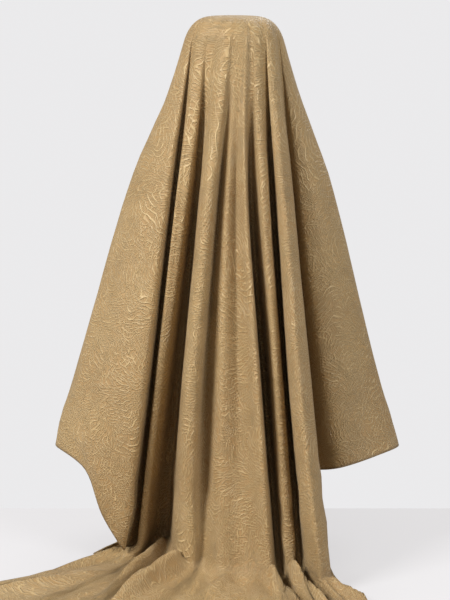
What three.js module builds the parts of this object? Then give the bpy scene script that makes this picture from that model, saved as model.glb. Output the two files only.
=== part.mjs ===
// A length of jacquard cloth hung over a round display stand, in millimetres.
// The origin is the centre of the underside of the stand's base. +Z is up, +X is
// to the right of the front, and -Y is the front, where the cloth runs out on
// the surface. The cloth is one sheet, cut 1400 wide and 1700 long.
import * as THREE from "three";
import { mergeVertices } from "three/addons/utils/BufferGeometryUtils.js";

const clothThickness = 1.6;
const clothTop = 780; // level of the middle of the cloth over the stand
const rimRadius = 61; // where the cloth turns down off the stand
const midLevel = 560; // level of the mid columns of the fold table
const kneeLevel = 260; // level of the knee columns of the fold table
const frontSpacing = 3.4; // how closely the sheet follows the folds of the front
const backSpacing = 6;
const turnShare = 0.4; // how far along the lying cloth its lines turn

// How far each side of a bend the cloth starts to curve.
const rimBend = 37;
const midBend = 105;
const kneeBend = 105;
const footBend = 42;

// The folds of the front and sides, from the left wing round the front to the
// right wing. Each row is one line down the cloth: where it leaves the rim in
// degrees, where it passes the mid and knee levels, where its foot is, which way
// it heads from there in degrees, and where it ends at the cut edge. The tip of
// a cleft is how wide its bottom is.
const frontLines = [
  {
    line: "leftWing", rim: 153, mid: [-145, 18], knee: [-231, 4],
    foot: [-251, -2, 205], hem: [-260, -4, 162],
  },
  {
    line: "leftWingFront", rim: 176, mid: [-129, -24], knee: [-205, -42],
    foot: [-218, -50, 190], hem: [-212, -58, 140],
  },
  {
    line: "leftWingLow", rim: 194, mid: [-110, -46], knee: [-166, -66],
    foot: [-184, -70, 120], hem: [-189, -70, 76],
  },
  {
    line: "leftWingRidge", rim: 206, mid: [-92, -58], knee: [-129, -78],
    foot: [-152, -72, 60], hem: [-160, -60, 20],
  },
  {
    line: "leftWingBack", rim: 210, mid: [-85, -40], knee: [-120, -47],
    foot: [-150, -40, 60], hem: [-164, -36, 20],
  },
  {
    line: "leftCleft", rim: 214, mid: [-80, -24], knee: [-114, -12],
    foot: [-134, -4, 3], hem: [-202, -44, 1], tip: 6,
  },
  {
    line: "slimRidge", rim: 221, mid: [-73, -56], knee: [-108, -61],
    foot: [-139, -40, 1], heading: 226, hem: [-345, -186, 1], tip: 6,
  },
  {
    line: "slimFace", rim: 230, mid: [-60, -58], knee: [-97, -50],
    foot: [-128, -18, 1], heading: 246, hem: [-430, -330, 1],
  },
  {
    line: "slimBack", rim: 239, mid: [-51, -26], knee: [-88, -4],
    foot: [-118, 10, 1], heading: 256, hem: [-470, -400, 1],
  },
  {
    line: "leftValley", rim: 247, mid: [-46, -28], knee: [-78, 6],
    foot: [-102, 20, 1], heading: 258, hem: [-490, -450, 1],
  },
  {
    line: "columnOuter", rim: 257, mid: [-43, -72], knee: [-73, -82],
    foot: [-88, -62, 1], heading: 247, hem: [-500, -530, 1],
  },
  {
    line: "columnRidge", rim: 262, mid: [-36, -94], knee: [-67, -120],
    foot: [-77, -104, 1], heading: 240, hem: [-400, -575, 1],
  },
  {
    line: "columnInner", rim: 268, mid: [-27, -92], knee: [-54, -118],
    foot: [-61, -112, 1], heading: 246, hem: [-280, -600, 1],
  },
  {
    line: "columnValley", rim: 273, mid: [-18, -60], knee: [-42, -72],
    foot: [-44, -108, 1], heading: 256, hem: [-170, -612, 1],
  },
  {
    line: "panelLeft", rim: 278, mid: [-9, -82], knee: [-18, -106],
    foot: [-20, -134, 1], heading: 264, hem: [-60, -620, 1],
  },
  {
    line: "panelMiddle", rim: 283, mid: [2, -74], knee: [8, -95],
    foot: [14, -134, 1], heading: 272, hem: [60, -622, 1],
  },
  {
    line: "panelRidge", rim: 288, mid: [13, -96], knee: [36, -136],
    foot: [52, -148, 1], heading: 276, hem: [170, -620, 1],
  },
  {
    line: "firstCleft", rim: 294, mid: [22, -64], knee: [44, -28],
    foot: [66, -120, 1], heading: 278, hem: [206, -616, 1], tip: 5,
  },
  {
    line: "narrowRidge", rim: 300, mid: [37, -98], knee: [60, -118],
    foot: [77, -137, 1], heading: 278, hem: [240, -608, 1],
  },
  {
    line: "narrowFace", rim: 305, mid: [45, -92], knee: [69, -112],
    foot: [87, -138, 1], heading: 278, hem: [268, -596, 1],
  },
  {
    line: "secondCleft", rim: 311, mid: [52, -42], knee: [74, -22],
    foot: [95, -130, 1], heading: 278, hem: [288, -574, 1], tip: 5,
  },
  {
    line: "roundLeft", rim: 317, mid: [60, -90], knee: [80, -134],
    foot: [108, -158, 1], heading: 287, hem: [296, -510, 1],
  },
  {
    line: "roundRidge", rim: 324, mid: [69, -94], knee: [93, -156],
    foot: [122, -193, 1], heading: 301, hem: [266, -400, 1],
  },
  {
    line: "roundRight", rim: 331, mid: [78, -78], knee: [108, -134],
    foot: [136, -172, 1], heading: 310, hem: [196, -276, 1],
  },
  {
    line: "roundBack", rim: 336, mid: [80, -50], knee: [106, -66],
    foot: [122, -104, 3], hem: [142, -120, 1],
  },
  {
    line: "rightCleft", rim: 341, mid: [79, -24], knee: [101, -4],
    foot: [106, -14, 150], hem: [112, -14, 126], tip: 6,
  },
  {
    line: "rightWingInner", rim: 348, mid: [93, -44], knee: [132, -56],
    foot: [144, -66, 190], hem: [154, -76, 149],
  },
  {
    line: "rightWingFront", rim: 355, mid: [113, -42], knee: [168, -48],
    foot: [183, -54, 196], hem: [204, -60, 161],
  },
  {
    line: "rightWing", rim: 366, mid: [137, 6], knee: [211, 0],
    foot: [229, 0, 206], hem: [240, -2, 161],
  },
  {
    line: "rightWingBack", rim: 378, mid: [98, 36], knee: [128, 40],
    foot: [134, 42, 190], hem: [138, 44, 150],
  },
];

// The folds of the back: the angle and reach of each ridge at the knee level,
// the width across the ridge, and the valley that follows it.
const backFolds = [
  {
    fold: "backFirst", angle: 41, reach: 214, width: 36, hem: 140,
    valley: 54, depth: 46, valleyHem: 60,
  },
  {
    fold: "backSecond", angle: 67, reach: 206, width: 40, hem: 30,
    valley: 79, depth: 38, valleyHem: 110,
  },
  {
    fold: "backThird", angle: 91, reach: 192, width: 42, hem: 206,
    valley: 103, depth: 38, valleyHem: 150,
  },
  {
    fold: "backFourth", angle: 114, reach: 206, width: 40, hem: 60,
    valley: 125, depth: 46, valleyHem: 60,
  },
  {
    fold: "backFifth", angle: 135, reach: 214, width: 36, hem: 120,
    valley: 147, depth: 128, valleyHem: 120,
  },
];
const backMidShare = 0.44; // how far out a back fold is at the mid level
const backValleyWidth = 11;
const backHemFlare = 1.12; // how much farther out its hem is than its knee

// Creases that run over the part of the cloth that lies on the surface.
const lyingCreases = [
  { crease: "columnTrail", from: [-70, -104], to: [-190, -236], height: 22, width: 20 },
  { crease: "innerTrail", from: [-98, 10], to: [-170, -205], height: 15, width: 17 },
  { crease: "leftTrail", from: [-180, -120], to: [-420, -200], height: 9, width: 42 },
  { crease: "narrowTrail", from: [82, -140], to: [160, -290], height: 16, width: 16 },
  { crease: "panelTrail", from: [56, -150], to: [130, -300], height: 13, width: 15 },
  { crease: "roundTrail", from: [128, -178], to: [220, -270], height: 11, width: 18 },
  { crease: "frontWave", from: [-60, -330], to: [60, -520], height: 9, width: 50 },
];

const topPlateRadius = 44;
const topPlateThickness = 14;
const topPlateRounding = 6.5;
const topGap = 1.5;
const postRadius = 9;
const baseRadius = 78;
const baseThickness = 10;
const baseRounding = 3;
const jointGap = 0.3;
const roundSegments = 64;

const onRay = (degrees, radius) => {
  const angle = THREE.MathUtils.degToRad(degrees);
  return new THREE.Vector2(radius * Math.cos(angle), radius * Math.sin(angle));
};

// A back fold becomes two lines for its ridge and one for its valley.
function linesOfBackFold(fold) {
  const across = onRay(fold.angle + 90, 1);
  const ridgeSide = (side) => {
    const at = (reach, width) =>
      onRay(fold.angle, reach).addScaledVector(across, (side * width) / 2);
    const midReach = rimRadius + backMidShare * (fold.reach - rimRadius);
    const knee = at(fold.reach, fold.width);
    const foot = at(fold.reach * (1 + (backHemFlare - 1) / 2), fold.width);
    const hem = at(fold.reach * backHemFlare, fold.width);
    const footLevel = (kneeLevel + fold.hem) / 2;
    return {
      rim: fold.angle + 3 * side,
      mid: at(midReach, fold.width * 0.6).toArray(),
      knee: knee.toArray(),
      foot: [foot.x, foot.y, footLevel],
      hem: [hem.x, hem.y, fold.hem],
    };
  };
  const sideways = onRay(fold.valley + 90, backValleyWidth / 2);
  const valleySide = (side) => {
    const knee = onRay(fold.valley, fold.depth).addScaledVector(sideways, side);
    const mid = onRay(fold.valley, (fold.depth + rimRadius) / 2).addScaledVector(sideways, side);
    return {
      rim: fold.valley + 2 * side,
      mid: mid.toArray(),
      knee: knee.toArray(),
      foot: [knee.x, knee.y, (kneeLevel + fold.valleyHem) / 2],
      hem: [knee.x, knee.y, fold.valleyHem],
    };
  };
  return [ridgeSide(-1), ridgeSide(1), valleySide(-1), valleySide(1)];
}

const backLines = backFolds.flatMap(linesOfBackFold);
for (const line of backLines) line.rim += 360;

// The bottom of a cleft is two lines, as far apart as its tip is wide.
function linesOfCleft(line) {
  if (!line.tip) return [line];
  const moved = (side) => {
    const shift = ([x, ...rest], share) => [x + (side * share * line.tip) / 2, ...rest];
    return {
      ...line,
      rim: line.rim + side,
      mid: shift(line.mid, 0.8),
      knee: shift(line.knee, 1),
      foot: shift(line.foot, 1),
      hem: shift(line.hem, 1),
    };
  };
  return [moved(-1), moved(1)];
}

const shownLines = frontLines.flatMap(linesOfCleft);
const lines = [...shownLines, ...backLines];

// Between its foot and the cut edge a line leaves its foot along a heading, in
// degrees, and then curves over to its end. A line that hangs goes straight.
for (const line of lines) {
  const foot = new THREE.Vector3(...line.foot);
  const run = new THREE.Vector3(...line.hem).sub(foot);
  const headingWay = () => new THREE.Vector3(...onRay(line.heading, 1), 0);
  const way = line.heading ? headingWay() : run.clone().normalize();
  line.turn = foot.addScaledVector(way, run.length() * turnShare).toArray();
}

// A closed smooth curve through the values of one column of the table.
function closedCurve(knots, period, values) {
  const count = knots.length;
  const knot = (i) => knots[((i % count) + count) % count] + period * Math.floor(i / count);
  const value = (i) => values[((i % count) + count) % count];
  const slope = (i, j) => (value(j) - value(i)) / (knot(j) - knot(i));
  return (index, share) => {
    const span = knot(index + 1) - knot(index);
    const before = knot(index) - knot(index - 1);
    const after = knot(index + 2) - knot(index + 1);
    const here = slope(index, index + 1);
    const startSlope = (slope(index - 1, index) * span + here * before) / (before + span);
    const endSlope = (here * after + slope(index + 1, index + 2) * span) / (span + after);
    const s2 = share * share;
    const s3 = s2 * share;
    return (
      (2 * s3 - 3 * s2 + 1) * value(index) +
      (s3 - 2 * s2 + share) * span * startSlope +
      (3 * s2 - 2 * s3) * value(index + 1) +
      (s3 - s2) * span * endSlope
    );
  };
}

const gap = (a, b) => Math.hypot(a[0] - b[0], a[1] - b[1]);
const chord = (a, b) => Math.sqrt(gap(a.knee, b.knee) + gap(a.foot, b.foot));
const knots = [0];
for (let i = 1; i < lines.length; i += 1) {
  knots.push(knots[i - 1] + chord(lines[i - 1], lines[i]));
}
const period = knots.at(-1) + chord(lines.at(-1), lines[0]);
const curveOf = (pick) => closedCurve(knots, period, lines.map(pick));
const curves = {
  midX: curveOf((line) => line.mid[0]),
  midY: curveOf((line) => line.mid[1]),
  kneeX: curveOf((line) => line.knee[0]),
  kneeY: curveOf((line) => line.knee[1]),
  footX: curveOf((line) => line.foot[0]),
  footY: curveOf((line) => line.foot[1]),
  footZ: curveOf((line) => line.foot[2]),
  turnX: curveOf((line) => line.turn[0]),
  turnY: curveOf((line) => line.turn[1]),
  turnZ: curveOf((line) => line.turn[2]),
  hemX: curveOf((line) => line.hem[0]),
  hemY: curveOf((line) => line.hem[1]),
  hemZ: curveOf((line) => line.hem[2]),
};

const rims = lines.map((line) => line.rim);

// The corner points of one line down the cloth, from the rim to the cut edge.
function cornersAt(index, share) {
  const nextRim = index + 1 < lines.length ? rims[index + 1] : rims[0] + 360;
  const rim = onRay(rims[index] + (nextRim - rims[index]) * share, 1);
  const get = (name) => curves[name](index, share);
  const lowest = clothThickness / 2;
  return [
    new THREE.Vector3(0, 0, clothTop),
    new THREE.Vector3(rim.x * rimRadius, rim.y * rimRadius, clothTop),
    new THREE.Vector3(get("midX"), get("midY"), midLevel),
    new THREE.Vector3(get("kneeX"), get("kneeY"), kneeLevel),
    new THREE.Vector3(get("footX"), get("footY"), Math.max(get("footZ"), lowest)),
    new THREE.Vector3(get("turnX"), get("turnY"), Math.max(get("turnZ"), lowest)),
    new THREE.Vector3(get("hemX"), get("hemY"), Math.max(get("hemZ"), lowest)),
  ];
}

// Rows along a line: each bend is a curve of so many steps, with straight cloth
// between the bends. The last bend runs on to the cut edge.
const bends = [
  { reach: rimBend, steps: 4, straightSteps: 2 },
  { reach: midBend, steps: 3, straightSteps: 1 },
  { reach: kneeBend, steps: 3, straightSteps: 1 },
  { reach: footBend, steps: 4, straightSteps: 1 },
];
const lyingSteps = 4;

function pointsDown(corners) {
  const along = (from, to, distance) => {
    const length = from.distanceTo(to);
    return from.clone().lerp(to, Math.min(distance, length * 0.48) / length);
  };
  const points = [];
  let end = null;
  bends.forEach((bend, i) => {
    const corner = corners[i + 1];
    const start = along(corner, corners[i], bend.reach);
    if (end) {
      const before = bends[i - 1].straightSteps;
      for (let k = 1; k < before; k += 1) points.push(end.clone().lerp(start, k / before));
    }
    end = along(corner, corners[i + 2], bend.reach);
    const curve = new THREE.QuadraticBezierCurve3(start, corner, end);
    for (let k = 0; k <= bend.steps; k += 1) points.push(curve.getPoint(k / bend.steps));
  });
  const [turn, hem] = corners.slice(-2);
  const lying = new THREE.QuadraticBezierCurve3(end, turn, hem);
  for (let k = 1; k <= lyingSteps; k += 1) points.push(lying.getPoint(k / lyingSteps));
  return points;
}

const smooth = THREE.MathUtils.smoothstep;

// Creases lift the cloth where it lies, and fade out at the feet of the folds.
function creaseLift(point) {
  let lift = 0;
  for (const crease of lyingCreases) {
    const from = new THREE.Vector2(...crease.from);
    const run = new THREE.Vector2(...crease.to).sub(from);
    const offset = new THREE.Vector2(point.x, point.y).sub(from);
    const along = offset.dot(run) / run.lengthSq();
    const across = Math.abs(offset.cross(run)) / run.length();
    const rise = smooth(along, -0.1, 0.12);
    const fade = rise * (1 - smooth(along, 0.55, 1.05));
    const profile = Math.max(0, 1 - across / crease.width);
    lift += crease.height * fade * profile * profile * (3 - 2 * profile);
  }
  const lying = 1 - smooth(point.z, 4, 30);
  return lift * lying;
}

const columns = [];
for (let i = 0; i < lines.length; i += 1) {
  const spacing = i < shownLines.length ? frontSpacing : backSpacing;
  const nextLine = lines[(i + 1) % lines.length];
  const samples = Math.ceil(Math.sqrt(gap(lines[i].knee, nextLine.knee)) / spacing);
  for (let k = 0; k < samples; k += 1) {
    const points = pointsDown(cornersAt(i, k / samples));
    for (const point of points) point.z += creaseLift(point);
    columns.push(points);
  }
}

// The cloth as one closed sheet: its middle surface moved half its thickness
// each way along its normals, and joined along the cut edge.
function makeCloth() {
  const across = columns.length;
  const rows = columns[0].length;
  const positions = [0, 0, clothTop];
  for (const point of columns.flat()) positions.push(point.x, point.y, point.z);
  const at = (c, r) => 1 + (c % across) * rows + r;
  const faces = [];
  for (let c = 0; c < across; c += 1) {
    faces.push(0, at(c, 0), at(c + 1, 0));
    for (let r = 0; r < rows - 1; r += 1) {
      faces.push(at(c, r), at(c, r + 1), at(c + 1, r + 1));
      faces.push(at(c, r), at(c + 1, r + 1), at(c + 1, r));
    }
  }
  const middle = new THREE.BufferGeometry();
  middle.setAttribute("position", new THREE.Float32BufferAttribute(positions, 3));
  middle.setIndex(faces);
  middle.computeVertexNormals();
  const normals = middle.getAttribute("normal");
  const count = positions.length / 3;
  const shell = [];
  for (const side of [1, -1]) {
    const offset = (side * clothThickness) / 2;
    const lowest = side > 0 ? clothThickness : 0;
    for (let i = 0; i < count; i += 1) {
      shell.push(positions[3 * i] + offset * normals.getX(i));
      shell.push(positions[3 * i + 1] + offset * normals.getY(i));
      shell.push(Math.max(positions[3 * i + 2] + offset * normals.getZ(i), lowest));
    }
  }
  const triangles = [...faces];
  for (let i = 0; i < faces.length; i += 3) {
    triangles.push(faces[i] + count, faces[i + 2] + count, faces[i + 1] + count);
  }
  for (let c = 0; c < across; c += 1) {
    const here = at(c, rows - 1);
    const next = at(c + 1, rows - 1);
    triangles.push(here, here + count, next + count);
    triangles.push(here, next + count, next);
  }
  const cloth = new THREE.BufferGeometry();
  cloth.setAttribute("position", new THREE.Float32BufferAttribute(shell, 3));
  cloth.setIndex(triangles);
  return cloth;
}

// A round piece turned about the Z axis from half of its outline.
function turned(outline) {
  const profile = outline.map(([radius, level]) => new THREE.Vector2(radius, level));
  const geometry = new THREE.LatheGeometry(profile, roundSegments);
  geometry.deleteAttribute("normal");
  geometry.deleteAttribute("uv");
  geometry.rotateX(Math.PI / 2);
  return mergeVertices(geometry, 1e-3);
}

function roundedDisc(radius, bottom, top, rounding) {
  const steps = 5;
  const flat = radius - rounding;
  const bend = (i) => ((i / steps) * Math.PI) / 2;
  const outline = [[0, bottom]];
  for (let i = 0; i <= steps; i += 1) {
    const level = bottom + rounding - rounding * Math.cos(bend(i));
    outline.push([flat + rounding * Math.sin(bend(i)), level]);
  }
  for (let i = 0; i <= steps; i += 1) {
    const level = top - rounding + rounding * Math.sin(bend(i));
    outline.push([flat + rounding * Math.cos(bend(i)), level]);
  }
  outline.push([0, top]);
  return turned(outline);
}

const baseOutline = [
  [0, 0],
  [baseRadius - 1, 0],
  [baseRadius, 1],
  [baseRadius, baseThickness - baseRounding],
  [baseRadius - baseRounding, baseThickness],
  [0, baseThickness],
];

const plateTop = clothTop - clothThickness / 2 - topGap;
const plateBottom = plateTop - topPlateThickness;
const postOutline = [
  [0, baseThickness + jointGap],
  [postRadius, baseThickness + jointGap],
  [postRadius, plateBottom - jointGap],
  [0, plateBottom - jointGap],
];

function piece(name, geometry, color, roughness, metalness) {
  const material = new THREE.MeshStandardMaterial({ color, roughness, metalness });
  const mesh = new THREE.Mesh(geometry, material);
  mesh.name = name;
  return mesh;
}

const topPlate = roundedDisc(topPlateRadius, plateBottom, plateTop, topPlateRounding);

const part = new THREE.Group();
part.add(piece("fabric", makeCloth(), 0xb49c74, 0.62, 0));
part.add(piece("stand_top", topPlate, 0x8d7a5c, 0.7, 0));
part.add(piece("stand_post", turned(postOutline), 0x8b8b88, 0.4, 0.8));
part.add(piece("stand_base", turned(baseOutline), 0x77777a, 0.5, 0.7));

export default part;
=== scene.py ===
import math

import bpy
import numpy as np
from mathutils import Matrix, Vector, noise


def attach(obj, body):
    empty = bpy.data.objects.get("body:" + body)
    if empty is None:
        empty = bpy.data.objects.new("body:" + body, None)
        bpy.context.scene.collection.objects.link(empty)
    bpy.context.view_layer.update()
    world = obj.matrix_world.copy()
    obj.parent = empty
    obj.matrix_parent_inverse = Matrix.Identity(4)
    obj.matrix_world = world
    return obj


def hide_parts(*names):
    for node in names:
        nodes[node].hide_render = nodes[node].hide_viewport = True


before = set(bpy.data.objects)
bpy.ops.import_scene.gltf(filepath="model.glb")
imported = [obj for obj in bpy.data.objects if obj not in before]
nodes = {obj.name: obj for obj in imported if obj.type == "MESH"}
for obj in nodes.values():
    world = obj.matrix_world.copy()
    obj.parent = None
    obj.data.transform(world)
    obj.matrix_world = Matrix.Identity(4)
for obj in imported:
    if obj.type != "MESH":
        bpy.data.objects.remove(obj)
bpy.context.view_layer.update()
print("frame loaded")

perMetre = 1000  # the drape is worked out in millimetres

# The drape: its levels and bends are those of the solid cloth.
drape = {
    "top": 780,
    "rimRadius": 61,
    "midLevel": 560,
    "kneeLevel": 260,
    "thickness": 1.6,
    "frontSpacing": 1.12,  # the lower, the finer the mesh of the front
    "backSpacing": 2.3,
    "lyingShare": 1.5,  # how much the cloth that lies counts for its fineness
    "lyingSteps": 26,
    "topRings": 7,
    "turnShare": 0.4,  # where a line turns, between its foot and its cut edge
    "rimSpread": 9,  # over how many lines the folds are softened near the rim
    "rimSoftness": 0.8,
    "rimFade": (60, 230),  # they get crisp between these depths below the top
    "rimLimits": (0.8, 1.25),  # the most that softening moves a line in or out
    "runOut": 0.42,  # how high a standing fold runs out over the surface
    "runOutStart": (-30, 12),  # how far before and past its foot it sets in
    "runOutLength": 110,
    "mostProud": 40,  # no fold counts as standing out further than this
    "onSurface": 20,  # cloth below this level stands or lies on the surface
    "ripple": 1.5,  # soft ripples that run down the folds
    "crumple": 0.5,
    "footCrumple": 4.4,  # the cloth buckles where it stands on the surface
    "lyingCrumple": 6.0,
    "creaseSharpness": 1.15,
    "lyingLevel": (4, 30),  # cloth lies below the first and hangs above the second
    "tipAtMid": 0.8,  # the width of a cleft at the mid level, beside its foot
}

# Each bend of a line down the cloth: its reach each way, its steps, and the
# steps of the straight cloth after it.
bends = [
    {"bend": "rim", "reach": 37, "steps": 12, "straight": 4},
    {"bend": "mid", "reach": 105, "steps": 8, "straight": 4},
    {"bend": "knee", "reach": 105, "steps": 8, "straight": 4},
    {"bend": "foot", "reach": 30, "steps": 12, "straight": 1},
]

# One row for each line down the front of the cloth: name, degrees on the rim,
# place at the mid and knee levels, foot, heading from the foot, cut edge, and
# the width of the bottom of a cleft.
frontLines = [
    ("leftWing", 153, (-145, 18), (-231, 4), (-251, -2, 205), None, (-260, -4, 162), 0),
    ("leftWingFront", 176, (-129, -24), (-205, -42), (-218, -50, 190), None, (-212, -58, 140), 0),
    ("leftWingLow", 194, (-110, -46), (-166, -66), (-184, -70, 120), None, (-189, -70, 76), 0),
    ("leftWingRidge", 206, (-92, -58), (-129, -78), (-152, -72, 60), None, (-160, -60, 20), 0),
    ("leftWingBack", 210, (-85, -40), (-120, -47), (-150, -40, 60), None, (-164, -36, 20), 0),
    ("leftCleft", 214, (-80, -24), (-114, -12), (-134, -4, 3), None, (-202, -44, 1), 6),
    ("slimRidge", 221, (-73, -56), (-108, -61), (-139, -40, 1), 226, (-345, -186, 1), 6),
    ("slimFace", 230, (-60, -58), (-97, -50), (-128, -18, 1), 246, (-430, -330, 1), 0),
    ("slimBack", 239, (-51, -26), (-88, -4), (-118, 10, 1), 256, (-470, -400, 1), 0),
    ("leftValley", 247, (-46, -28), (-78, 6), (-102, 20, 1), 258, (-490, -450, 1), 0),
    ("columnOuter", 257, (-43, -72), (-73, -82), (-88, -62, 1), 247, (-500, -530, 1), 0),
    ("columnRidge", 262, (-36, -94), (-67, -120), (-77, -104, 1), 240, (-400, -575, 1), 0),
    ("columnInner", 268, (-27, -92), (-54, -118), (-61, -112, 1), 246, (-280, -600, 1), 0),
    ("columnValley", 273, (-18, -60), (-42, -72), (-44, -108, 1), 256, (-170, -612, 1), 0),
    ("panelLeft", 278, (-9, -82), (-18, -106), (-20, -134, 1), 264, (-60, -620, 1), 0),
    ("panelMiddle", 283, (2, -74), (8, -95), (14, -134, 1), 272, (60, -622, 1), 0),
    ("panelRidge", 288, (13, -96), (36, -136), (52, -148, 1), 276, (170, -620, 1), 0),
    ("firstCleft", 294, (22, -64), (44, -28), (66, -120, 1), 278, (206, -616, 1), 5),
    ("narrowRidge", 300, (37, -98), (60, -118), (77, -137, 1), 278, (240, -608, 1), 0),
    ("narrowFace", 305, (45, -92), (69, -112), (87, -138, 1), 278, (268, -596, 1), 0),
    ("secondCleft", 311, (52, -42), (74, -22), (95, -130, 1), 278, (288, -574, 1), 5),
    ("roundLeft", 317, (60, -90), (80, -134), (108, -158, 1), 287, (296, -510, 1), 0),
    ("roundRidge", 324, (69, -94), (93, -156), (122, -193, 1), 301, (266, -400, 1), 0),
    ("roundRight", 331, (78, -78), (108, -134), (136, -172, 1), 310, (196, -276, 1), 0),
    ("roundBack", 336, (80, -50), (106, -66), (122, -104, 3), None, (142, -120, 1), 0),
    ("rightCleft", 341, (79, -24), (101, -4), (106, -14, 150), None, (112, -14, 126), 6),
    ("rightWingInner", 348, (93, -44), (132, -56), (144, -66, 190), None, (154, -76, 149), 0),
    ("rightWingFront", 355, (113, -42), (168, -48), (183, -54, 196), None, (204, -60, 161), 0),
    ("rightWing", 366, (137, 6), (211, 0), (229, 0, 206), None, (240, -2, 161), 0),
    ("rightWingBack", 378, (98, 36), (128, 40), (134, 42, 190), None, (138, 44, 150), 0),
]

# The folds of the back: angle, reach and width of the ridge, level of its cut
# edge, and angle, depth and cut edge of the valley that follows.
backFolds = [
    ("first", 41, 214, 36, 140, 54, 46, 60),
    ("second", 67, 206, 40, 30, 79, 38, 110),
    ("third", 91, 192, 42, 206, 103, 38, 150),
    ("fourth", 114, 206, 40, 60, 125, 46, 60),
    ("fifth", 135, 214, 36, 120, 147, 128, 120),
]
back = {
    "midShare": 0.44,
    "midWidth": 0.6,
    "valleyWidth": 11,
    "hemFlare": 1.12,
    "ridgeTurn": 3,  # degrees on the rim, each side of a ridge
    "valleyTurn": 2,
}

# Creases over the cloth that lies: name, from, to, height and half width.
lyingCreases = [
    ("columnTrail", (-72, -106), (-176, -250), 32, 15),
    ("innerTrail", (-98, 0), (-182, -215), 22, 13),
    ("leftTrail", (-180, -120), (-420, -200), 9, 42),
    ("narrowTrail", (80, -140), (142, -290), 23, 12),
    ("panelTrail", (50, -150), (104, -300), 21, 12),
    ("roundTrail", (128, -178), (214, -270), 16, 14),
    ("frontWave", (-60, -330), (60, -520), 9, 50),
    ("panelFan", (-6, -142), (-66, -236), 8, 11),
    ("middleFan", (26, -148), (44, -250), 7, 12),
    ("leftFan", (-134, -24), (-262, -96), 9, 13),
    ("cornerFan", (-150, -44), (-290, -48), 7, 13),
    ("toeFan", (112, -170), (176, -300), 9, 11),
    ("sideFan", (140, -170), (214, -214), 8, 11),
]


def onRay(degrees, radius):
    angle = math.radians(degrees)
    return np.array([radius * math.cos(angle), radius * math.sin(angle)])


def shownLines():
    lines = []
    for _, rim, mid, knee, foot, heading, hem, tip in frontLines:
        for side in (-1, 1) if tip else (0,):
            shift = np.array([side * tip / 2, 0, 0])
            lines.append(
                {
                    "rim": rim + side,
                    "mid": np.array(mid) + drape["tipAtMid"] * shift[:2],
                    "knee": np.array(knee) + shift[:2],
                    "foot": np.array(foot) + shift,
                    "hem": np.array(hem) + shift,
                    "heading": heading,
                    "cleft": bool(tip),
                }
            )
    return lines


def hiddenLines():
    lines = []
    for _, angle, reach, width, hem, valley, depth, valleyHem in backFolds:
        sideways = onRay(angle + 90, 1)
        midReach = drape["rimRadius"] + back["midShare"] * (reach - drape["rimRadius"])
        for side in (-1, 1):
            ridge = lambda far, wide: onRay(angle, far) + sideways * side * wide / 2
            foot = ridge(reach * (1 + (back["hemFlare"] - 1) / 2), width)
            end = ridge(reach * back["hemFlare"], width)
            lines.append(
                {
                    "rim": angle + back["ridgeTurn"] * side + 360,
                    "mid": ridge(midReach, width * back["midWidth"]),
                    "knee": ridge(reach, width),
                    "foot": np.array([*foot, (drape["kneeLevel"] + hem) / 2]),
                    "hem": np.array([*end, hem]),
                    "heading": None,
                    "cleft": False,
                }
            )
        for side in (-1, 1):
            offset = onRay(valley + 90, back["valleyWidth"] / 2) * side
            knee = onRay(valley, depth) + offset
            lines.append(
                {
                    "rim": valley + back["valleyTurn"] * side + 360,
                    "mid": onRay(valley, (depth + drape["rimRadius"]) / 2) + offset,
                    "knee": knee,
                    "foot": np.array([*knee, (drape["kneeLevel"] + valleyHem) / 2]),
                    "hem": np.array([*knee, valleyHem]),
                    "heading": None,
                    "cleft": True,
                }
            )
    return lines


front = shownLines()
lines = front + hiddenLines()
for line in lines:
    run = line["hem"] - line["foot"]
    length = np.linalg.norm(run)
    way = run / length if line["heading"] is None else np.array([*onRay(line["heading"], 1), 0])
    line["turn"] = line["foot"] + way * length * drape["turnShare"]


def gapTo(a, b, key):
    return np.linalg.norm((a[key] - b[key])[:2])


count = len(lines)
pairs = [(lines[i], lines[(i + 1) % count]) for i in range(count)]
gaps = np.array([math.sqrt(gapTo(a, b, "knee") + gapTo(a, b, "foot")) for a, b in pairs])


# The values of a column of the table, run smoothly round the drape.
def smoothRound(values, index, share):
    value = lambda k: values[(index + k) % count]
    gap = lambda k: gaps[(index + k) % count][:, None]
    slope = lambda k: (value(k + 1) - value(k)) / gap(k)
    startSlope = (slope(-1) * gap(0) + slope(0) * gap(-1)) / (gap(-1) + gap(0))
    endSlope = (slope(0) * gap(1) + slope(1) * gap(0)) / (gap(0) + gap(1))
    s = share[:, None]
    s2, s3 = s * s, s * s * s
    return (
        (2 * s3 - 3 * s2 + 1) * value(0)
        + (s3 - 2 * s2 + s) * gap(0) * startSlope
        + (3 * s2 - 2 * s3) * value(1)
        + (s3 - s2) * gap(0) * endSlope
    )


index, share = [], []
for i, (a, b) in enumerate(pairs):
    spacing = drape["frontSpacing"] if i < len(front) else drape["backSpacing"]
    widest = max(gapTo(a, b, "knee"), drape["lyingShare"] * gapTo(a, b, "turn"))
    samples = math.ceil(math.sqrt(widest) / spacing)
    index += [i] * samples
    share += [k / samples for k in range(samples)]
index, share = np.array(index), np.array(share)
across = len(index)

rims = np.array([line["rim"] for line in lines] + [lines[0]["rim"] + 360], float)
rim = np.radians(rims[index] + (rims[index + 1] - rims[index]) * share)
lowest = drape["thickness"] / 2
level = lambda xy, z: np.concatenate([xy, np.full((across, 1), float(z))], 1)
table = lambda key: smoothRound(np.array([line[key] for line in lines], float), index, share)
corners = [
    level(np.zeros((across, 2)), drape["top"]),
    level(np.stack([np.cos(rim), np.sin(rim)], 1) * drape["rimRadius"], drape["top"]),
    level(table("mid"), drape["midLevel"]),
    level(table("knee"), drape["kneeLevel"]),
    table("foot"),
    table("turn"),
    table("hem"),
]
for corner in corners[4:]:
    corner[:, 2] = np.maximum(corner[:, 2], lowest)


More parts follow.
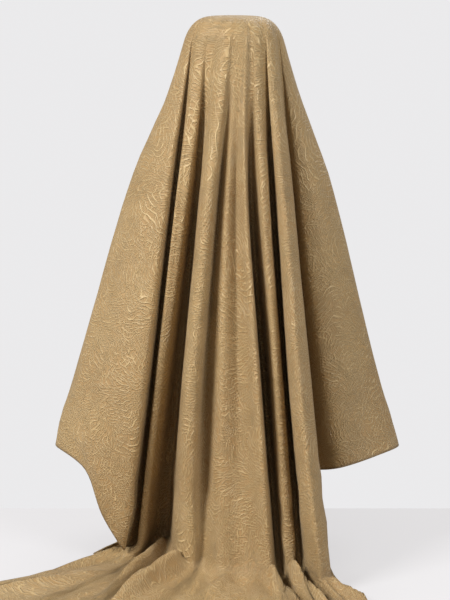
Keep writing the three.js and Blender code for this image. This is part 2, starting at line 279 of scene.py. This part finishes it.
def towards(start, end, distance):
    length = np.linalg.norm(end - start, axis=1)[:, None]
    nearHalf = length * 0.48  # so that two bends on one line never meet
    return start + (end - start) * np.minimum(distance, nearHalf) / length


def bezier(start, corner, end, t):
    return start * (1 - t) ** 2 + corner * 2 * t * (1 - t) + end * t * t


rows = []
last = None
for i, bend in enumerate(bends):
    corner = corners[i + 1]
    start = towards(corner, corners[i], bend["reach"])
    if last is None:
        rings = drape["topRings"]
        rows += [corners[0] + (start - corners[0]) * k / rings for k in range(1, rings)]
    else:
        straight = bends[i - 1]["straight"]
        rows += [last + (start - last) * k / straight for k in range(1, straight)]
    last = towards(corner, corners[i + 2], bend["reach"])
    rows += [bezier(start, corner, last, k / bend["steps"]) for k in range(bend["steps"] + 1)]
lyingSteps = drape["lyingSteps"]
rows += [bezier(last, corners[5], corners[6], k / lyingSteps) for k in range(1, lyingSteps + 1)]
grid = np.stack(rows)  # rows down, lines across, x y z
down = len(grid)


def smoothstep(value, low, high):
    t = np.clip((value - low) / (high - low), 0, 1)
    return t * t * (3 - 2 * t)


# Near the rim the narrow folds run out into a few broad ones.
offsets = np.arange(-drape["rimSpread"] * 2, drape["rimSpread"] * 2 + 1)
weights = np.exp(-0.5 * (offsets / drape["rimSpread"]) ** 2)
tiny = 1e-6
broad = sum(w * np.roll(grid, k, axis=1) for k, w in zip(offsets, weights)) / weights.sum()
reach = np.linalg.norm(grid[:, :, :2], axis=2)[:, :, None]
broadReach = np.maximum(np.linalg.norm(broad[:, :, :2], axis=2)[:, :, None], tiny)
blend = drape["rimSoftness"] * (1 - smoothstep(drape["top"] - grid[:, :, 2:], *drape["rimFade"]))
least, most = drape["rimLimits"]
softReach = np.clip(broadReach, reach * least, reach * most)
grid[:, :, :2] *= 1 + blend * (softReach / np.maximum(reach, tiny) - 1)

# Where each point is on the flat cloth: how far down its line, and which way.
steps = np.linalg.norm(np.diff(grid, axis=0), axis=2)
first = np.linalg.norm(grid[0] - corners[0], axis=1)
fromTop = np.concatenate([first[None], first + np.cumsum(steps, axis=0)])
kneeRow = int(np.argmin(np.abs(grid[:, :, 2] - drape["kneeLevel"]).mean(1)))
kneeLine = grid[kneeRow]
arc = np.linalg.norm(np.roll(kneeLine, -1, 0) - kneeLine, axis=1)
turn = 2 * math.pi * (np.cumsum(arc) - arc) / arc.sum()
flatX, flatY = fromTop * np.cos(turn), fromTop * np.sin(turn)

# Creases over the cloth that lies.
lift = np.zeros((down, across))
for _, start, end, height, width in lyingCreases:
    run = np.subtract(end, start)
    offset = grid[:, :, :2] - np.array(start)
    along = offset @ run / (run @ run)
    aside = np.abs(offset[:, :, 0] * run[1] - offset[:, :, 1] * run[0]) / np.linalg.norm(run)
    fade = smoothstep(along, -0.1, 0.12) * (1 - smoothstep(along, 0.55, 1.05))
    profile = np.clip(1 - aside / width, 0, 1)
    lift += height * fade * profile ** drape["creaseSharpness"]
lying = 1 - smoothstep(grid[:, :, 2], *drape["lyingLevel"])
grid[:, :, 2] += lift * lying

# Each fold that stands on the surface runs out over it as a low ridge.
footRow = down - lyingSteps - bends[-1]["steps"] // 2
pastFoot = fromTop - fromTop[footRow][None]
kneeReach = np.linalg.norm(kneeLine[:, :2], axis=1)
aroundReach = sum(w * np.roll(kneeReach, k) for k, w in zip(offsets, weights)) / weights.sum()
footLevel, hemLevel = corners[4][:, 2], corners[6][:, 2]
stands = (footLevel < drape["onSurface"]) & (hemLevel < drape["onSurface"])
proud = np.clip(kneeReach - aroundReach, 0, drape["mostProud"]) * stands
fallOff = np.exp(-np.maximum(pastFoot, 0) / drape["runOutLength"])
runOut = smoothstep(pastFoot, *drape["runOutStart"]) * fallOff
grid[:, :, 2] += drape["runOut"] * proud[None] * runOut


# The sizes of the ripples, buckles and crumples, and where they set in, as
# lengths down from the top or as levels.
sizes = {
    "around": 560,  # the turn round the drape, as a length for each radian
    "rippleWidth": 34,
    "rippleLength": 260,
    "buckleWidth": 70,
    "buckleHeight": 24,
    "crumple": 21,
    "smallCrumple": 9,
    "heap": 62,
    "smallHeap": 27,
    "rippleStart": (90, 260),
    "crumpleStart": (60, 140),
    "buckleStart": (520, 700),
    "buckleLevels": (90, 200),
    "cleftRoom": 0.9,  # the share that a cleft takes away
}


def noiseOf(x, y, seed):
    flat = zip(x.ravel(), y.ravel())
    return np.array([noise.noise(Vector((a, b, seed))) for a, b in flat]).reshape(x.shape)


def flatNoise(size, seed):
    return noiseOf(flatX / size, flatY / size, seed)


def normalsOf(points):
    aside = np.roll(points, -1, 1) - np.roll(points, 1, 1)
    downward = np.gradient(points, axis=0)
    normal = np.cross(downward, aside)
    return normal / np.maximum(np.linalg.norm(normal, axis=2), 1e-9)[:, :, None]


# Ripples, crumples and buckles, all weaker in the clefts, where cloth is close.
cleft = np.array([line["cleft"] for line in lines], float)
closeness = np.maximum(cleft[index] * (1 - share), cleft[(index + 1) % count] * share)
room = 1 - sizes["cleftRoom"] * smoothstep(closeness, 0.0, 0.9)[None]
hanging = smoothstep(fromTop, *sizes["rippleStart"]) * (1 - lying)
crumpled = smoothstep(fromTop, *sizes["crumpleStart"])
nearFoot = 1 - smoothstep(grid[:, :, 2], *sizes["buckleLevels"])
standing = smoothstep(fromTop, *sizes["buckleStart"]) * nearFoot * (1 - lying)
standing = standing * (np.abs(hemLevel) < drape["onSurface"])[None]
aroundWay = np.broadcast_to(turn[None] * sizes["around"], fromTop.shape)
ripple = noiseOf(aroundWay / sizes["rippleWidth"], fromTop / sizes["rippleLength"], 3.1)
buckle = noiseOf(aroundWay / sizes["buckleWidth"], fromTop / sizes["buckleHeight"], 12.9)
crumple = flatNoise(sizes["crumple"], 7.7) + 0.5 * flatNoise(sizes["smallCrumple"], 1.3)
bump = drape["ripple"] * ripple * hanging + drape["crumple"] * crumple * crumpled
bump += drape["footCrumple"] * buckle * standing
grid += normalsOf(grid) * (bump * room)[:, :, None]
heap = np.abs(flatNoise(sizes["heap"], 5.5)) + 0.4 * np.abs(flatNoise(sizes["smallHeap"], 9.2))
grid[:, :, 2] += drape["lyingCrumple"] * heap * lying
grid[:, :, 2] = np.maximum(grid[:, :, 2], lowest)
print("cloth shaped", down, across)

# The mesh, with its place on the flat cloth and its way from the cut edge.
vertices = np.concatenate([[[0, 0, drape["top"]]], grid.reshape(-1, 3)]) / perMetre
at = lambda r, c: 1 + r * across + c % across
faces = [(0, at(0, c), at(0, c + 1)) for c in range(across)]
for r in range(down - 1):
    faces += [(at(r, c), at(r + 1, c), at(r + 1, c + 1), at(r, c + 1)) for c in range(across)]
mesh = bpy.data.meshes.new("jacquard_cloth")
mesh.from_pydata(vertices.tolist(), [], faces)
flat = np.concatenate([[[0, 0]], np.stack([flatX, flatY], 2).reshape(-1, 2)]) / perMetre
vertexOf = np.empty(len(mesh.loops), np.int32)
mesh.loops.foreach_get("vertex_index", vertexOf)
flatMap = mesh.uv_layers.new(name="flatCloth")
flatMap.data.foreach_set("uv", flat[vertexOf].ravel())
fromEdge = (fromTop[-1][None] - fromTop) / perMetre
edge = mesh.attributes.new("fromEdge", "FLOAT", "POINT")
edge.data.foreach_set("value", np.concatenate([[1.0], fromEdge.ravel()]))
mesh.polygons.foreach_set("use_smooth", [True] * len(mesh.polygons))
mesh.update()
fabric = bpy.data.objects.new("jacquard_fabric", mesh)
bpy.context.scene.collection.objects.link(fabric)
shell = fabric.modifiers.new("thickness", "SOLIDIFY")
shell.thickness = drape["thickness"] / perMetre
shell.offset = 0
print("cloth made", len(mesh.polygons))


# Shader helpers.
def addNode(tree, kind, values=(), **settings):
    made = tree.nodes.new(kind)
    for key, value in settings.items():
        setattr(made, key, value)
    for key, value in dict(values).items():
        if isinstance(value, bpy.types.NodeSocket):
            tree.links.new(value, made.inputs[key])
        else:
            made.inputs[key].default_value = value
    return made


def maths(tree, operation, *values):
    return addNode(tree, "ShaderNodeMath", dict(enumerate(values)), operation=operation).outputs[0]


def vectors(tree, operation, *values):
    made = addNode(tree, "ShaderNodeVectorMath", dict(enumerate(values)), operation=operation)
    return made.outputs["Value" if operation in ("LENGTH", "DOT_PRODUCT") else "Vector"]


def between(tree, value, low, high):
    made = addNode(
        tree,
        "ShaderNodeMapRange",
        {"Value": value, "From Min": low, "From Max": high},
        interpolation_type="SMOOTHSTEP",
    )
    return made.outputs["Result"]


def noiseMap(tree, place, scale, detail):
    values = {"Vector": place, "Scale": scale, "Detail": detail}
    return addNode(tree, "ShaderNodeTexNoise", values, noise_dimensions="2D")


def mixColour(tree, factor, a, b):
    made = addNode(tree, "ShaderNodeMix", data_type="RGBA")
    for socket, value in ((made.inputs[0], factor), (made.inputs[6], a), (made.inputs[7], b)):
        if isinstance(value, bpy.types.NodeSocket):
            tree.links.new(value, socket)
        else:
            socket.default_value = value
    return made.outputs[2]


def newGroup(name, inputs, outputs):
    tree = bpy.data.node_groups.new(name, "ShaderNodeTree")
    for label, kind, value in inputs:
        socket = tree.interface.new_socket(label, in_out="INPUT", socket_type=kind)
        if value is not None:
            socket.default_value = value
    for label, kind in outputs:
        tree.interface.new_socket(label, in_out="OUTPUT", socket_type=kind)
    return tree, addNode(tree, "NodeGroupInput"), addNode(tree, "NodeGroupOutput")


# How the strokes of the weave drift, wave, bow and break off, in metres or
# for each metre of cloth.
strokeShape = {
    "driftScale": 7.0,
    "drift": (0.055, 0.055, 0.0),
    "waveScale": 42.0,
    "wave": (0.0105, 0.0105, 0.0),
    "turns": 3.1,  # the patches are turned by up to this many radians
    "bow": 6.0,
    "bowPower": 1.6,
    "oval": (0.55, 1.0, 0.0),
    "width": (0.25, 1.0),  # the share of each wave that is stroke
    "breaks": (50.0, 210.0, 1.0),
    "kept": (0.38, 0.52),
    "patchEdge": (0.7, 0.95),
}


# Fine raised strokes in patches, each patch with its own direction, and some
# of them curved round their middle.
def strokeGroup():
    tree, given, result = newGroup(
        "raisedStrokes",
        [
            ("Vector", "NodeSocketVector", None),
            ("Patches per metre", "NodeSocketFloat", 9.0),
            ("Stroke spacing", "NodeSocketFloat", 0.006),
            ("Round share", "NodeSocketFloat", 0.12),
        ],
        [("Raised", "NodeSocketFloat")],
    )
    shape = strokeShape
    place = given.outputs["Vector"]
    middle = (0.5, 0.5, 0.5)
    drift = noiseMap(tree, place, shape["driftScale"], 2.0)
    bent = vectors(tree, "SUBTRACT", drift.outputs["Color"], middle)
    bent = vectors(tree, "MULTIPLY", bent, shape["drift"])
    wave = noiseMap(tree, place, shape["waveScale"], 1.0)
    small = vectors(tree, "SUBTRACT", wave.outputs["Color"], middle)
    small = vectors(tree, "MULTIPLY", small, shape["wave"])
    warped = vectors(tree, "ADD", vectors(tree, "ADD", place, bent), small)
    cells = addNode(
        tree,
        "ShaderNodeTexVoronoi",
        {"Vector": warped, "Scale": given.outputs["Patches per metre"]},
        voronoi_dimensions="2D",
    )
    chance = addNode(tree, "ShaderNodeSeparateColor", {"Color": cells.outputs["Color"]})

    # Each patch has its own place and turn, and is straight or round.
    local = vectors(tree, "SUBTRACT", warped, cells.outputs["Position"])
    angle = maths(tree, "MULTIPLY", chance.outputs["Red"], shape["turns"])
    turning = {"Vector": local, "Angle": angle}
    turned = addNode(tree, "ShaderNodeVectorRotate", turning, rotation_type="Z_AXIS").outputs["Vector"]
    parts = addNode(tree, "ShaderNodeSeparateXYZ", {"Vector": turned})
    bow = maths(tree, "POWER", maths(tree, "ABSOLUTE", parts.outputs["X"]), shape["bowPower"])
    bowed = maths(tree, "ADD", parts.outputs["Y"], maths(tree, "MULTIPLY", bow, shape["bow"]))
    oval = vectors(tree, "LENGTH", vectors(tree, "MULTIPLY", turned, shape["oval"]))
    isRound = maths(tree, "LESS_THAN", chance.outputs["Green"], given.outputs["Round share"])
    chosen = {0: isRound, 2: bowed, 3: oval}
    field = addNode(tree, "ShaderNodeMix", chosen, data_type="FLOAT").outputs[0]
    waves = maths(tree, "DIVIDE", field, given.outputs["Stroke spacing"])
    stroke = maths(tree, "SINE", maths(tree, "MULTIPLY", waves, 2 * math.pi))
    stroke = between(tree, stroke, *shape["width"])

    # The strokes break off, and stop at the edge of their patch.
    offset = vectors(tree, "MULTIPLY", cells.outputs["Color"], (40.0, 40.0, 40.0))
    stretched = vectors(tree, "ADD", vectors(tree, "MULTIPLY", turned, shape["breaks"]), offset)
    broken = addNode(tree, "ShaderNodeTexNoise", {"Vector": stretched, "Scale": 1.0, "Detail": 1.0})
    kept = between(tree, broken.outputs["Fac"], *shape["kept"])
    outside = between(tree, cells.outputs["Distance"], *shape["patchEdge"])
    inside = maths(tree, "SUBTRACT", 1.0, outside)
    raised = maths(tree, "MULTIPLY", maths(tree, "MULTIPLY", stroke, kept), inside)
    tree.links.new(raised, result.inputs["Raised"])
    return tree


def newMaterial(name):
    made = bpy.data.materials.new(name)
    made.use_nodes = True
    return made, made.node_tree, made.node_tree.nodes["Principled BSDF"]


# Change these to recolour the cloth or to make its pattern coarser.
clothLook = {
    "ground": (0.385, 0.247, 0.102, 1),
    "stroke": (0.535, 0.385, 0.188, 1),
    "shade": (0.33, 0.198, 0.077, 1),
    "cutEdge": (0.16, 0.1, 0.045, 1),
    "cutEdgeWidth": (0.0015, 0.005),
    "groundRoughness": 0.62,
    "strokeRoughness": 0.4,
    "patches": 9.0,
    "spacing": 0.0062,
    "strokeShare": 0.85,
    "grainScale": 1400.0,
    "grainShare": 0.12,
    "grainHeight": 0.1,
    "toneScale": 5.0,
    "puckerScale": 75.0,
    "pucker": 0.9,
    "relief": 0.00135,
    "sheen": 0.16,
    "sheenRoughness": 0.4,
    "sheenTint": (1.0, 0.86, 0.62, 1),
}

# Three layers of strokes lie over each other: where each is moved to, how many
# patches it has and how wide its strokes are beside the first, and its height.
strokeLayers = [
    {"moved": (0.0, 0.0, 0.0), "patches": 1.0, "spacing": 1.0, "round": 0.12, "height": 1.0},
    {"moved": (0.37, 0.71, 0.0), "patches": 1.9, "spacing": 0.8, "round": 0.1, "height": 0.7},
    {"moved": (-0.83, 0.19, 0.0), "patches": 1.35, "spacing": 0.9, "round": 0.0, "height": 0.8},
]


def strokesOn(tree, place):
    group = strokeGroup()
    raised = 0.0
    for layer in strokeLayers:
        values = {
            "Vector": vectors(tree, "ADD", place, layer["moved"]),
            "Patches per metre": clothLook["patches"] * layer["patches"],
            "Stroke spacing": clothLook["spacing"] * layer["spacing"],
            "Round share": layer["round"],
        }
        placed = addNode(tree, "ShaderNodeGroup", values, node_tree=group)
        height = maths(tree, "MULTIPLY", placed.outputs["Raised"], layer["height"])
        raised = maths(tree, "MAXIMUM", raised, height)
    return raised


def clothMaterial():
    made, tree, surface = newMaterial("jacquard_cloth")
    place = addNode(tree, "ShaderNodeUVMap", uv_map="flatCloth").outputs["UV"]
    raised = strokesOn(tree, place)

    # Drifts of tone, the strokes, a fine grain and a darker cut edge.
    grain = noiseMap(tree, place, clothLook["grainScale"], 2.0).outputs["Fac"]
    tone = noiseMap(tree, place, clothLook["toneScale"], 3.0).outputs["Fac"]
    colour = mixColour(tree, between(tree, tone, 0.3, 0.75), clothLook["shade"], clothLook["ground"])
    shown = maths(tree, "MULTIPLY", raised, clothLook["strokeShare"])
    colour = mixColour(tree, shown, colour, clothLook["stroke"])
    speck = maths(tree, "MULTIPLY", between(tree, grain, 0.35, 0.7), clothLook["grainShare"])
    colour = mixColour(tree, speck, colour, clothLook["stroke"])
    edge = addNode(tree, "ShaderNodeAttribute", attribute_name="fromEdge").outputs["Fac"]
    nearEdge = maths(tree, "SUBTRACT", 1.0, between(tree, edge, *clothLook["cutEdgeWidth"]))
    colour = mixColour(tree, maths(tree, "MULTIPLY", nearEdge, 0.55), colour, clothLook["cutEdge"])
    tree.links.new(colour, surface.inputs["Base Color"])
    rough = addNode(
        tree,
        "ShaderNodeMapRange",
        {"Value": raised, "To Min": clothLook["groundRoughness"], "To Max": clothLook["strokeRoughness"]},
    )
    tree.links.new(rough.outputs["Result"], surface.inputs["Roughness"])

    # The relief of the strokes, the grain and the puckers of the weave.
    pucker = noiseMap(tree, place, clothLook["puckerScale"], 2.0).outputs["Fac"]
    height = maths(tree, "ADD", raised, maths(tree, "MULTIPLY", grain, clothLook["grainHeight"]))
    height = maths(tree, "ADD", height, maths(tree, "MULTIPLY", pucker, clothLook["pucker"]))
    bump = {"Height": height, "Strength": 1.0, "Distance": clothLook["relief"]}
    tree.links.new(addNode(tree, "ShaderNodeBump", bump).outputs["Normal"], surface.inputs["Normal"])
    surface.inputs["Sheen Weight"].default_value = clothLook["sheen"]
    surface.inputs["Sheen Roughness"].default_value = clothLook["sheenRoughness"]
    surface.inputs["Sheen Tint"].default_value = clothLook["sheenTint"]
    return made


mesh.materials.append(clothMaterial())
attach(fabric, "root")
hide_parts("fabric")
print("cloth finished")

# The stand, which the cloth hides from the front. The grain and the marks are
# stretched by these scales, for each metre.
standLook = {
    "wood": (0.30, 0.17, 0.075, 1),
    "grain": (0.17, 0.085, 0.035, 1),
    "grainStretch": (3.0, 34.0, 34.0),
    "grainDepth": 0.0004,
    "woodRoughness": 0.55,
}
post = {
    "colour": (0.42, 0.42, 0.43, 1),
    "metallic": 1.0,
    "roughness": 0.34,
    "marks": (900, 900, 25),
    "depth": 0.0001,
}
base = {
    "colour": (0.11, 0.11, 0.118, 1),
    "metallic": 0.0,
    "roughness": 0.5,
    "marks": (1300, 1300, 1300),
    "depth": 0.0002,
}


def woodMaterial():
    made, tree, surface = newMaterial("stand_wood")
    place = addNode(tree, "ShaderNodeTexCoord").outputs["Object"]
    along = vectors(tree, "MULTIPLY", place, standLook["grainStretch"])
    values = {"Vector": along, "Scale": 6.0, "Detail": 6.0, "Distortion": 0.6}
    rings = addNode(tree, "ShaderNodeTexNoise", values)
    streak = between(tree, rings.outputs["Fac"], 0.36, 0.66)
    colour = mixColour(tree, streak, standLook["wood"], standLook["grain"])
    tree.links.new(colour, surface.inputs["Base Color"])
    bump = {"Height": streak, "Strength": 0.3, "Distance": standLook["grainDepth"]}
    tree.links.new(addNode(tree, "ShaderNodeBump", bump).outputs["Normal"], surface.inputs["Normal"])
    surface.inputs["Roughness"].default_value = standLook["woodRoughness"]
    return made


def metalMaterial(name, look):
    made, tree, surface = newMaterial(name)
    place = addNode(tree, "ShaderNodeTexCoord").outputs["Object"]
    stretched = vectors(tree, "MULTIPLY", place, look["marks"])
    marks = addNode(tree, "ShaderNodeTexNoise", {"Vector": stretched, "Scale": 1.0, "Detail": 4.0})
    worn = between(tree, marks.outputs["Fac"], 0.3, 0.7)
    darker = tuple(0.8 * c for c in look["colour"][:3]) + (1,)
    tree.links.new(mixColour(tree, worn, darker, look["colour"]), surface.inputs["Base Color"])
    least, most = look["roughness"] - 0.08, look["roughness"] + 0.1
    values = {"Value": marks.outputs["Fac"], "To Min": least, "To Max": most}
    rough = addNode(tree, "ShaderNodeMapRange", values)
    tree.links.new(rough.outputs["Result"], surface.inputs["Roughness"])
    bump = {"Height": marks.outputs["Fac"], "Strength": 0.5, "Distance": look["depth"]}
    tree.links.new(addNode(tree, "ShaderNodeBump", bump).outputs["Normal"], surface.inputs["Normal"])
    surface.inputs["Metallic"].default_value = look["metallic"]
    return made


def dress(node, material):
    nodes[node].data.materials.clear()
    nodes[node].data.materials.append(material)


dress("stand_top", woodMaterial())
dress("stand_post", metalMaterial("stand_steel", post))
dress("stand_base", metalMaterial("stand_coating", base))
print("stand finished")

# The pale surface that the part stands on ends behind it. Its glow keeps the
# shadows on it as pale as in the photo, and less of it falls on the cloth.
stageLook = {
    "surface": (0.2, 0.196, 0.2, 1),
    "roughness": 0.7,
    "glow": (0.8, 0.785, 0.79, 1),
    "glowStrength": 0.71,
    "glowOnCloth": 0.25,
    "surround": (0.83, 0.825, 0.835, 1),
    "surroundLight": 0.33,
    "backEdge": 0.18,
    "halfWidth": 3.0,
    "frontEdge": -2.6,
    "level": -0.0008,
}


# One value for the camera, and another for the light that falls on the part.
def seenOrLit(tree, lit, seen):
    byCamera = addNode(tree, "ShaderNodeLightPath").outputs["Is Camera Ray"]
    values = {"Value": byCamera, "To Min": lit, "To Max": seen}
    return addNode(tree, "ShaderNodeMapRange", values).outputs["Result"]


def makeSurface():
    mesh = bpy.data.meshes.new("surface")
    half, z = stageLook["halfWidth"], stageLook["level"]
    near, far = stageLook["frontEdge"], stageLook["backEdge"]
    outline = [(-half, near, z), (half, near, z), (half, far, z), (-half, far, z)]
    mesh.from_pydata(outline, [], [(0, 1, 2, 3)])
    made = bpy.data.objects.new("surface", mesh)
    bpy.context.scene.collection.objects.link(made)
    material, tree, surface = newMaterial("surface")
    surface.inputs["Base Color"].default_value = stageLook["surface"]
    surface.inputs["Roughness"].default_value = stageLook["roughness"]
    surface.inputs["Emission Color"].default_value = stageLook["glow"]
    glow = seenOrLit(tree, stageLook["glowOnCloth"], stageLook["glowStrength"])
    tree.links.new(glow, surface.inputs["Emission Strength"])
    mesh.materials.append(material)
    return made


makeSurface()

world = bpy.data.worlds.new("studio")
bpy.context.scene.world = world
world.use_nodes = True
sky = world.node_tree
background = sky.nodes["Background"]
background.inputs["Color"].default_value = stageLook["surround"]
sky.links.new(seenOrLit(sky, stageLook["surroundLight"], 1.0), background.inputs["Strength"])

# Soft studio lights: place, aim, size and power.
lights = [
    {"name": "key", "at": (-2.1, -1.75, 2.35), "aim": (0, 0, 0.4), "size": 1.1, "power": 130},
    {"name": "fill", "at": (2.0, -2.3, 1.9), "aim": (0, 0, 0.45), "size": 1.3, "power": 58},
    {"name": "back", "at": (0.8, 2.2, 2.2), "aim": (0, 0, 0.5), "size": 1.4, "power": 30},
]
for light in lights:
    lamp = bpy.data.lights.new(light["name"], "AREA")
    lamp.size = light["size"]
    lamp.energy = light["power"]
    holder = bpy.data.objects.new(light["name"], lamp)
    holder.location = light["at"]
    aim = Vector(light["aim"]) - Vector(light["at"])
    holder.rotation_mode = "QUATERNION"
    holder.rotation_quaternion = aim.to_track_quat("-Z", "Y")
    bpy.context.scene.collection.objects.link(holder)

# The photo's view: from the front, a little above the part. The shifts are
# parts of the picture's height.
view = {
    "target": (0, 0, 0.39),
    "distance": 2.5,
    "elevation": 12,
    "sensor": 36,
    "lens": 104.28,
    "shiftX": -8.5 / 600,
    "shiftY": -9 / 600,
}
camera = bpy.data.objects.new("camera", bpy.data.cameras.new("camera"))
bpy.context.scene.collection.objects.link(camera)
tilt = math.radians(view["elevation"])
backwards = Vector((0, -math.cos(tilt), math.sin(tilt)))
camera.location = Vector(view["target"]) + view["distance"] * backwards
camera.rotation_mode = "QUATERNION"
camera.rotation_quaternion = (Vector(view["target"]) - camera.location).to_track_quat("-Z", "Y")
camera.data.sensor_width = view["sensor"]
camera.data.lens = view["lens"]
camera.data.shift_x = view["shiftX"]
camera.data.shift_y = view["shiftY"]
bpy.context.scene.camera = camera
bpy.context.scene.view_settings.view_transform = "Standard"
print("lights and camera set")
